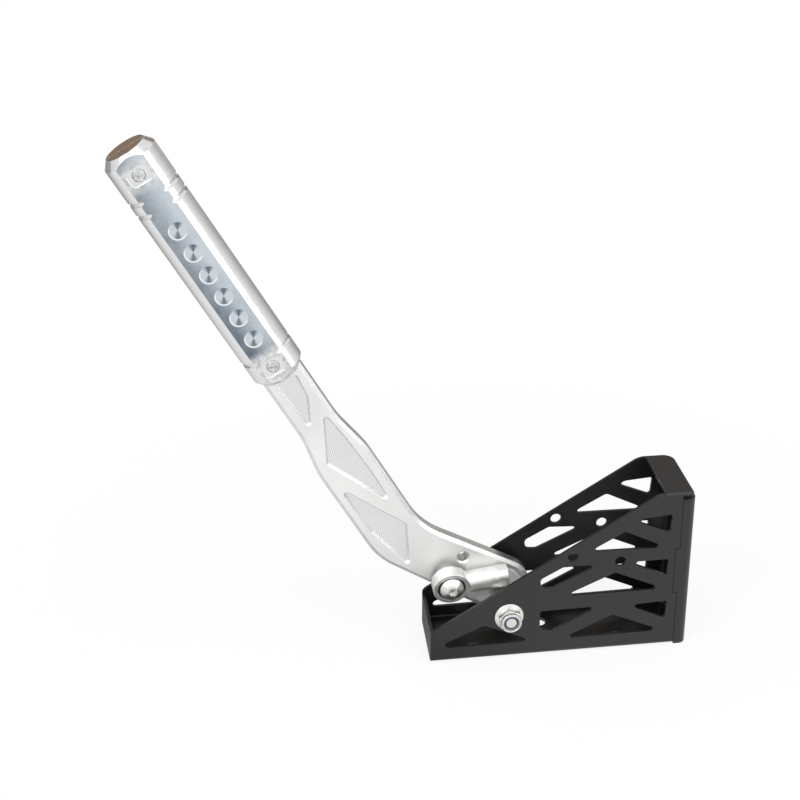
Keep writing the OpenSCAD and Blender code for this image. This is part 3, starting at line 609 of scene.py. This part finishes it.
lever = welded_copy("lever_arm", "lever_milled")
mouth_middle = SPARE_EYE + Vector((0.0, ARM_FACES[0] + MOUTH_R / 2 - MOUTH_PROUD, 0.0))
mouth = solid(bpy.ops.mesh.primitive_cone_add, vertices=MOUTH_SIDES, radius1=MOUTH_R, radius2=0.0,
              depth=MOUTH_R, location=mouth_middle, rotation=(-math.pi / 2, 0.0, 0.0))
combine(lever, mouth, "DIFFERENCE")
ease(lever, ARM_EASE)
print("arm with its mouth and rounding:", len(lever.data.polygons), "faces")

# %% Sort the arm's faces into finishes
FACING = 0.9
SIDE_ON = 0.2
BEVEL_LEAN = 0.42
POCKET_DEPTH = 1.0 * MM
POCKET_MIDDLE = -30.0 * MM
LEVER_UPRIGHT = Matrix.Rotation(LEVER_LEAN, 3, "Y")
ARM_FINISHES = [satin, milled, sawn_and_shaded, bevel_cut]

for material in ARM_FINISHES:
    lever.data.materials.append(material)
for face in lever.data.polygons:
    depth = min(abs(face.center.y - y) for y in ARM_FACES)
    sort = satin
    if abs(face.normal.y) > FACING and depth > POCKET_DEPTH:
        sort = milled
    # Side walls take the sawn finish, whose greyer tone is partly painted shade.
    elif abs(face.normal.y) < SIDE_ON:
        sort = sawn_and_shaded
    elif abs(face.normal.y) < FACING and abs(face.normal.x) > BEVEL_LEAN:
        inward = (LEVER_UPRIGHT @ (face.center - PIVOT)).x
        if face.normal.x < 0.0 or inward > POCKET_MIDDLE:
            sort = bevel_cut
    face.material_index = ARM_FINISHES.index(sort)
settle(lever, "lever", "satin_alloy", satin, "lever_arm")

# %% [markdown]
# ## The grip
# The grip is turned from bar, split along its length and given two flats with a row of dimples. Both
# halves are welded copies with a very fine rounding, because polished edges stay crisp. The flats, the
# dimples and the end get finishes of their own, and everything else keeps the lathe's polish.

# %% Two halves of the grip
GRIP_EASE = 0.12 * MM
FLAT_PLANES = {"grip_half_near": -0.8 * MM, "grip_half_far": 26.0 * MM}
FLAT_FACING = 0.99
FLAT_WITHIN = 0.3 * MM
DIMPLES = 6
DIMPLE_DEPTHS = (0.05 * MM, 1.7 * MM)
END_WITHIN = 1.0
GRIP_FINISHES = [polished, painted_reflection_flat, dimple_with_painted_fan, mirror_end]

for node_name, flat_y in FLAT_PLANES.items():
    half = welded_copy(node_name, node_name.replace("half", "shell"))
    ease(half, GRIP_EASE)
    for material in GRIP_FINISHES:
        half.data.materials.append(material)
    for face in half.data.polygons:
        spot = LEVER_UPRIGHT @ (face.center - on_lever(GRIP_OFFSET, GRIP_START)) / MM
        dimple_no = round((spot.z - DIMPLE_FIRST) / DIMPLE_PITCH)
        off_dimple = math.hypot(spot.x, spot.z - DIMPLE_FIRST - dimple_no * DIMPLE_PITCH)
        depth = abs(face.center.y - flat_y)
        in_dimple = DIMPLE_DEPTHS[0] < depth < DIMPLE_DEPTHS[1] and off_dimple < DIMPLE_R
        sort = polished
        # Flat faces take the painted reflection.
        if abs(face.normal.y) > FLAT_FACING and depth < FLAT_WITHIN:
            sort = painted_reflection_flat
        elif 0 <= dimple_no < DIMPLES and in_dimple:
            sort = dimple_with_painted_fan
        elif (LEVER_UPRIGHT @ face.normal).z > FACING and spot.z > GRIP_LEN - END_WITHIN:
            sort = mirror_end
        face.material_index = GRIP_FINISHES.index(sort)
    settle(half, "lever", "polished_alloy", polished, node_name)

# %% [markdown]
# ## Turned pieces
# Washers, tubes, bushes and bolts come off a lathe, and Blender has one too: a profile is drawn by
# extruding a point from corner to corner, its corners are bevelled, and the spin operator turns it round
# the axis. Doubles are merged afterwards and the normals are made to point out.

# %% The lathe
TURNED_SIDES = 64


def turned(name, axis, profile, easing):
    """Spins a profile of (radius, y) points round a line along Y; easing rounds its corners."""
    piece = solid(bpy.ops.mesh.primitive_plane_add, size=MM,
                  location=(axis.x + profile[0][0], profile[0][1], axis.z))
    piece.name = name
    bpy.ops.object.mode_set(mode="EDIT")
    bpy.ops.mesh.select_all(action="SELECT")
    bpy.ops.mesh.merge(type="CENTER")
    for (r0, y0), (r1, y1) in zip(profile, profile[1:]):
        bpy.ops.mesh.extrude_region_move(TRANSFORM_OT_translate={"value": (r1 - r0, y1 - y0, 0.0)})
    bpy.ops.mesh.select_all(action="SELECT")
    bpy.ops.mesh.remove_doubles(threshold=WELD)
    if easing:
        bpy.ops.mesh.bevel(offset=easing, segments=3, affect="VERTICES")
    bpy.ops.mesh.select_all(action="SELECT")
    bpy.ops.mesh.spin(steps=TURNED_SIDES, angle=math.tau, center=(axis.x, 0.0, axis.z),
                      axis=(0.0, 1.0, 0.0))
    bpy.ops.mesh.select_all(action="SELECT")
    bpy.ops.mesh.remove_doubles(threshold=WELD)
    bpy.ops.mesh.normals_make_consistent(inside=False)
    bpy.ops.object.mode_set(mode="OBJECT")
    return piece


def ring_profile(node, bore):
    """Closed profile of a plain ring: its outside and length from the CAD box, its bore as given."""
    low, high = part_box(node)
    outer = (high.x - low.x) / 2
    return [(bore / 2, low.y), (outer, low.y), (outer, high.y), (bore / 2, high.y), (bore / 2, low.y)]


def middle(node):
    """The middle of a CAD node's box."""
    low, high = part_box(node)
    return (low + high) / 2


# %% Rings on the pivot and behind the ball: name, node, bore and easing in mm, body, slot, finish
RINGS = [
    ("spacer_tube_near", "pivot_spacer_near", 8.4, 0.4, "bracket", "bright_zinc", zinc),
    ("spacer_tube_far", "pivot_spacer_far", 8.4, 0.4, "bracket", "bright_zinc", zinc),
    ("hub_bush", "pivot_bush", 8.1, 0.3, "lever", "bronze", bronze),
    ("side_washer_near", "thrust_washer_near", 8.1, 0.15, "lever", "nylon", acetal),
    ("side_washer_far", "thrust_washer_far", 8.1, 0.15, "lever", "nylon", acetal),
    ("eye_washer", "rod_end_washer", 8.4, 0.3, "lever", "bright_zinc", zinc),
    ("lock_ring", "pivot_nut_ring", 8.06, 0.5, "bracket", "nylon", nylon),
]
for name, node_name, bore, easing, body, slot, material in RINGS:
    ring = turned(name, middle(node_name), ring_profile(node_name, bore * MM), easing * MM)
    settle(ring, body, slot, material, node_name)

# %% [markdown]
# ## Hexagons: the pivot bolt and its lock nut
# A hexagon starts as a six-sided cylinder. Its corners are cut back by a cone, which leaves the curved
# chamfer lines that every nut shows, and then a turned flange is joined on. The bolt's head on the far
# side is made in the same way, and its turned shank with the bevelled tip goes through everything.

# %% A chamfered hexagon
HEX_ACROSS = 13.0 * MM
CHAMFER_FACE = 0.95
CHAMFER_RISE = math.tan(math.radians(30))


def hexagon(name, axis, base_y, height, way, turn):
    """Six-sided prism along Y from base_y, way +1 or -1, turned by turn, its corners cut by a cone."""
    centre = (axis.x, base_y + way * height / 2, axis.z)
    prism = solid(bpy.ops.mesh.primitive_cylinder_add, vertices=6, radius=HEX_ACROSS / math.sqrt(3),
                  depth=height, location=centre, rotation=(math.pi / 2, turn, 0.0))
    prism.name = name
    face_r = HEX_ACROSS / 2 * CHAMFER_FACE
    cone = solid(bpy.ops.mesh.primitive_cone_add, vertices=TURNED_SIDES, depth=height, radius2=face_r,
                 radius1=face_r + height / CHAMFER_RISE, location=centre,
                 rotation=(way * -math.pi / 2, 0.0, 0.0))
    combine(prism, cone, "INTERSECT")
    return prism


# %% The lock nut
HALF_W = 25.0 * MM
NUT_OUT = 34.0 * MM
NUT_HEX = 6.8 * MM
NUT_TURN = math.radians(-10)
FLANGE_R = 8.95 * MM
FLANGE_EDGE = 1.4 * MM
FLANGE_TOP = 2.8 * MM
FLANGE_TOP_R = 6.5 * MM
COLLAR_R = 6.3 * MM
COLLAR_FOOT = 3.2 * MM
BORE_R = 4.03 * MM
RING_R = 5.7 * MM
RING_SEAT = 31.8 * MM
FLANGE_EASE = 0.25 * MM
HEX_EASE = 0.12 * MM

lock_nut = hexagon("lock_nut", PIVOT, -HALF_W, NUT_HEX, -1, NUT_TURN)
flange = turned("nut_flange", PIVOT, [
    (BORE_R, -HALF_W), (FLANGE_R, -HALF_W), (FLANGE_R, -HALF_W - FLANGE_EDGE),
    (FLANGE_TOP_R, -HALF_W - FLANGE_TOP), (COLLAR_R, -HALF_W - COLLAR_FOOT), (COLLAR_R, -NUT_OUT),
    (RING_R, -NUT_OUT), (RING_R, -RING_SEAT), (BORE_R, -RING_SEAT), (BORE_R, -HALF_W)], FLANGE_EASE)
combine(lock_nut, flange, "UNION")
nut_bore = solid(bpy.ops.mesh.primitive_cylinder_add, vertices=TURNED_SIDES, radius=BORE_R,
                 depth=4 * HALF_W, location=PIVOT, rotation=(math.pi / 2, 0.0, 0.0))
combine(lock_nut, nut_bore, "DIFFERENCE")
ease(lock_nut, HEX_EASE, segments=2)
settle(lock_nut, "bracket", "bright_zinc", zinc, "pivot_nut")

# %% The pivot bolt
BOLT_R = 4.0 * MM
BOLT_TIP_Y = -33.6 * MM
TIP_BEVEL = 0.8 * MM
HEAD_H = 8.0 * MM
HEAD_EDGE = 1.2 * MM
HEAD_TOP = 2.4 * MM
SHANK_EASE = 0.15 * MM

pivot_bolt = hexagon("bolt_hex", PIVOT, HALF_W, HEAD_H, 1, math.pi / 6)
shank = turned("bolt_shank", PIVOT, [
    (0.0, BOLT_TIP_Y), (BOLT_R - TIP_BEVEL, BOLT_TIP_Y), (BOLT_R, BOLT_TIP_Y + TIP_BEVEL),
    (BOLT_R, HALF_W), (FLANGE_R, HALF_W), (FLANGE_R, HALF_W + HEAD_EDGE),
    (FLANGE_TOP_R, HALF_W + HEAD_TOP), (0.0, HALF_W + HEAD_TOP)], SHANK_EASE)
combine(pivot_bolt, shank, "UNION")
ease(pivot_bolt, HEX_EASE, segments=2)
for material in (zinc, shaded_thread_steel):
    pivot_bolt.data.materials.append(material)
# Faces of the thread and the tip's bevel past the near plate take the painted shade.
for face in pivot_bolt.data.polygons:
    out_from_axis = math.hypot(face.center.x - PIVOT.x, face.center.z - PIVOT.z)
    threaded = face.center.y < -HALF_W and out_from_axis > BOLT_R - TIP_BEVEL
    face.material_index = 1 if threaded else 0
settle(pivot_bolt, "bracket", "bright_zinc", zinc, "pivot_bolt")

# %% [markdown]
# ## Rod end and its screw
# The rod end joins the lever to the cylinder's push rod. Its forged housing has softer edges than any
# other piece: a voxel remesh turns the welded copy into an even skin, and smoothing then melts the skin
# like a forging. Liner and ball are welded copies, and the screw is a turned dome with a socket.

# %% Housing, liner and ball
SKIN = 0.3 * MM
MELT = 0.5
MELT_ROUNDS = 10
LINER_EASE = 0.1 * MM
BALL_EASE = 0.2 * MM

housing = welded_copy("rod_end_body", "eye_housing")
bpy.ops.object.modifier_add(type="REMESH")
housing.modifiers[-1].mode = "VOXEL"
housing.modifiers[-1].voxel_size = SKIN
bpy.ops.object.modifier_apply(modifier=housing.modifiers[-1].name)
bpy.ops.object.modifier_add(type="SMOOTH")
housing.modifiers[-1].factor = MELT
housing.modifiers[-1].iterations = MELT_ROUNDS
bpy.ops.object.modifier_apply(modifier=housing.modifiers[-1].name)
settle(housing, "rod_end", "bright_zinc", forged, "rod_end_body")

liner = welded_copy("rod_end_race", "eye_liner")
ease(liner, LINER_EASE, segments=2)
# Its near-black finish is partly painted shade.
settle(liner, "rod_end", "dark_liner", dark_liner, "rod_end_race")

ball = welded_copy("rod_end_ball", "eye_ball")
ease(ball, BALL_EASE)
settle(ball, "lever", "bright_zinc", zinc, "rod_end_ball")

# %% A hexagon socket
def cut_socket(piece, centre, across, depth):
    """Sinks a hexagon socket into the piece from centre, along +Y."""
    cutter = solid(bpy.ops.mesh.primitive_cylinder_add, vertices=6, radius=across / math.sqrt(3),
                   depth=2 * depth, location=centre, rotation=(math.pi / 2, math.pi / 6, 0.0))
    combine(piece, cutter, "DIFFERENCE")


# %% The button head screw
EYE_SCREW_R = 4.0 * MM
EYE_HEAD_R = 7.3 * MM
EYE_HEAD_H = 4.4 * MM
EYE_SOCKET = 5.0 * MM
EYE_SOCKET_DEPTH = 2.6 * MM
BUTTON_EASE = 0.18 * MM
DOME_STEPS = 7

screw_low, screw_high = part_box("rod_end_screw")
eye_axis = middle("rod_end_screw")
dome_r = 2 * EYE_HEAD_H
dome_turns = [math.asin(EYE_HEAD_R / dome_r) * i / DOME_STEPS for i in range(DOME_STEPS + 1)]
dome = [(dome_r * math.sin(a), screw_low.y + dome_r * (1 - math.cos(a))) for a in dome_turns]
button = turned("eye_button_screw", eye_axis, dome + [
    (EYE_HEAD_R, screw_low.y + EYE_HEAD_H), (EYE_SCREW_R, screw_low.y + EYE_HEAD_H),
    (EYE_SCREW_R, screw_high.y), (0.0, screw_high.y)], 0.0)
cut_socket(button, (eye_axis.x, screw_low.y, eye_axis.z), EYE_SOCKET, EYE_SOCKET_DEPTH)
ease(button, BUTTON_EASE, segments=2)
settle(button, "lever", "bright_zinc", zinc, "rod_end_screw")

# %% [markdown]
# ## Grip screws
# Two socket cap screws clamp the grip's halves. They are alike, so one is turned, socketed and eased,
# and the other is a copy with a mesh of its own, moved along the grip and joined to the first.

# %% Turn one cap screw and copy it
GRIP_HEAD_R = 3.5 * MM
GRIP_HEAD_H = 4.0 * MM
GRIP_SCREW_R = 2.0 * MM
GRIP_SOCKET = 3.0 * MM
GRIP_SOCKET_DEPTH = 2.0 * MM
CAP_CORNER = 0.35 * MM

cap_low, cap_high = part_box("grip_screws")
low_axis = on_lever(GRIP_OFFSET, GRIP_START + SCREW_IN_LOW)
high_axis = on_lever(GRIP_OFFSET, GRIP_START + SCREW_IN_HIGH)
cap_screws = turned("grip_cap_screws", low_axis, [
    (0.0, cap_low.y), (GRIP_HEAD_R, cap_low.y), (GRIP_HEAD_R, cap_low.y + GRIP_HEAD_H),
    (GRIP_SCREW_R, cap_low.y + GRIP_HEAD_H), (GRIP_SCREW_R, cap_high.y), (0.0, cap_high.y)], CAP_CORNER)
cut_socket(cap_screws, (low_axis.x, cap_low.y, low_axis.z), GRIP_SOCKET, GRIP_SOCKET_DEPTH)
ease(cap_screws, HEX_EASE, segments=2)
second = cap_screws.copy()
second.data = cap_screws.data.copy()
scene.collection.objects.link(second)
second.data.transform(Matrix.Translation(high_axis - low_axis))
only(cap_screws, second)
bpy.ops.object.join()
settle(cap_screws, "lever", "bright_zinc", steel, "grip_screws")

# %% [markdown]
# ## Studio
# The photograph has a white sweep under soft lamps. The floor is a real surface that keeps a faint
# shadow. Light Path shows it white to the camera, and in reflections it fades towards the back, with a
# painted shadow beside the bracket's front. The world is white to the camera, soft to matt surfaces,
# and graded in reflections, with a dim brown band behind the object that the grip's end mirrors.

# %% Floor
WHITE = (1.0, 1.0, 1.0, 1.0)
FLOOR_SIZE = 16.0
FLOOR_Z = -0.3 * MM
PAPER_TONE = (0.86, 0.86, 0.86, 1.0)
PAPER_ROUGH = 0.9
PAPER_GLOSS = 0.1

bpy.ops.object.select_all(action="DESELECT")
bpy.ops.mesh.primitive_plane_add(size=FLOOR_SIZE, location=(0.0, 0.0, FLOOR_Z))
floor = bpy.context.object
floor.name = "studio_floor"
paper, tree, shader, place = finish("studio_paper")
shader.inputs["Base Color"].default_value = PAPER_TONE
shader.inputs["Roughness"].default_value = PAPER_ROUGH
shader.inputs["Specular IOR Level"].default_value = PAPER_GLOSS
floor.data.materials.append(paper)
print("floor:", floor.name, "covered with", paper.name)

# %% What the camera and reflections see of the floor, in metres
SHADOW_MIDDLE = Vector((-0.02, 0.03, 0.0))
SHADOW_REACH = (0.12, 0.42)
SHADOW_TONE = 0.86
# A painted shadow: reflections see the floor darker beside the bracket's front.
CORNER_SHADOW_MIDDLE = Vector((-0.088, 0.035, 0.0))
CORNER_SHADOW_REACH = (0.02, 0.12)
CORNER_SHADOW_TONE = 0.4
BACK_REACH = (-0.05, 0.45)
BACK_TONE = 0.38

path = put(tree, "ShaderNodeLightPath").outputs
lightness = slope(tree, vector(tree, "DISTANCE", place, SHADOW_MIDDLE), *SHADOW_REACH, SHADOW_TONE, 1.0)
to_camera = number(tree, "MULTIPLY", path["Is Camera Ray"], lightness)
corner = slope(tree, vector(tree, "DISTANCE", place, CORNER_SHADOW_MIDDLE), *CORNER_SHADOW_REACH, CORNER_SHADOW_TONE, 1.0)
depth_back = put(tree, "ShaderNodeSeparateXYZ", {"Vector": place}).outputs["Y"]
in_gloss = number(tree, "MULTIPLY", corner, slope(tree, depth_back, *BACK_REACH, 1.0, BACK_TONE))
glow = put(tree, "ShaderNodeEmission", {"Color": WHITE, "Strength": 1.0})
dimmed = put(tree, "ShaderNodeEmission", {"Color": WHITE, "Strength": in_gloss})
for_gloss = put(tree, "ShaderNodeMixShader", {0: path["Is Glossy Ray"], 1: shader.outputs["BSDF"],
                                              2: dimmed.outputs["Emission"]})
for_camera = put(tree, "ShaderNodeMixShader", {0: to_camera, 1: for_gloss.outputs["Shader"],
                                               2: glow.outputs["Emission"]})
tree.links.new(for_camera.outputs["Shader"], tree.nodes["Material Output"].inputs["Surface"])
print("floor's shadow fades from", SHADOW_REACH[0], "to", SHADOW_REACH[1], "m from the object")

# %% World
ROOM_FRONT = (0.93, 0.93, 0.93)
ROOM_RIGHT = (0.52, 0.52, 0.505)
ROOM_LOW = (0.95, 0.95, 0.95, 1.0)
BROWN_BAND = [(0.05, (0.52, 0.45, 0.38)), (0.11, (0.30, 0.22, 0.16)), (0.27, (0.20, 0.15, 0.115)),
              (0.46, (0.24, 0.19, 0.16)), (0.66, (0.95, 0.95, 0.95))]
SOFT_LIGHT = 0.6
BACK_WALL = (0.1, 0.7)
RIGHT_WALL = (0.33, 0.6)

world = bpy.data.worlds.new("studio_world")
world.use_nodes = True
scene.world = world
tree = world.node_tree
tree.nodes.clear()
direction = put(tree, "ShaderNodeTexCoord").outputs["Generated"]
parts = put(tree, "ShaderNodeSeparateXYZ", {"Vector": direction}).outputs
rise = put(tree, "ShaderNodeValToRGB", {"Fac": parts["Z"]})
stops = rise.color_ramp.elements
stops[0].color = ROOM_LOW
stops[1].color = WHITE
for position, colour in BROWN_BAND:
    stops.new(position).color = (*colour, 1.0)
behind = put(tree, "ShaderNodeMapRange",
             {"Value": parts["Y"], "From Min": BACK_WALL[0], "From Max": BACK_WALL[1]})
back_wall = blend(tree, slope(tree, parts["X"], *RIGHT_WALL), rise.outputs["Color"], ROOM_RIGHT)
graded = blend(tree, behind.outputs["Result"], ROOM_FRONT, back_wall)
path = put(tree, "ShaderNodeLightPath").outputs
white = put(tree, "ShaderNodeBackground", {"Color": WHITE, "Strength": 1.0})
mirror_room = put(tree, "ShaderNodeBackground", {"Color": graded, "Strength": 1.0})
soft = put(tree, "ShaderNodeBackground", {"Color": WHITE, "Strength": SOFT_LIGHT})
for_gloss = put(tree, "ShaderNodeMixShader", {0: path["Is Glossy Ray"], 1: soft.outputs["Background"],
                                              2: mirror_room.outputs["Background"]})
for_camera = put(tree, "ShaderNodeMixShader", {0: path["Is Camera Ray"], 1: for_gloss.outputs["Shader"],
                                               2: white.outputs["Background"]})
put(tree, "ShaderNodeOutputWorld", {"Surface": for_camera.outputs["Shader"]})
print("world:", world.name, "with", len(stops), "tones from floor to ceiling")

# %% Lamps: name, place, width in metres and power in watts
LAMPS = [
    ("key_softbox", (0.12, -0.62, 1.28), 1.25, 6.0),
    ("left_softbox", (-0.95, -0.7, 0.95), 0.8, 8.0),
    ("right_softbox", (0.95, -0.55, 0.75), 0.8, 4.0),
]
LAMP_AIM = Vector((-0.08, 0.0, 0.14))

for name, stand, width, power in LAMPS:
    turn = (Vector(stand) - LAMP_AIM).to_track_quat("Z", "Y").to_euler()
    bpy.ops.object.select_all(action="DESELECT")
    bpy.ops.object.light_add(type="AREA", location=stand, rotation=turn)
    lamp = bpy.context.object
    lamp.name = name
    lamp.data.size = width
    lamp.data.energy = power
scene.view_settings.view_transform = "Standard"
print("lamps:", [row[0] for row in LAMPS])
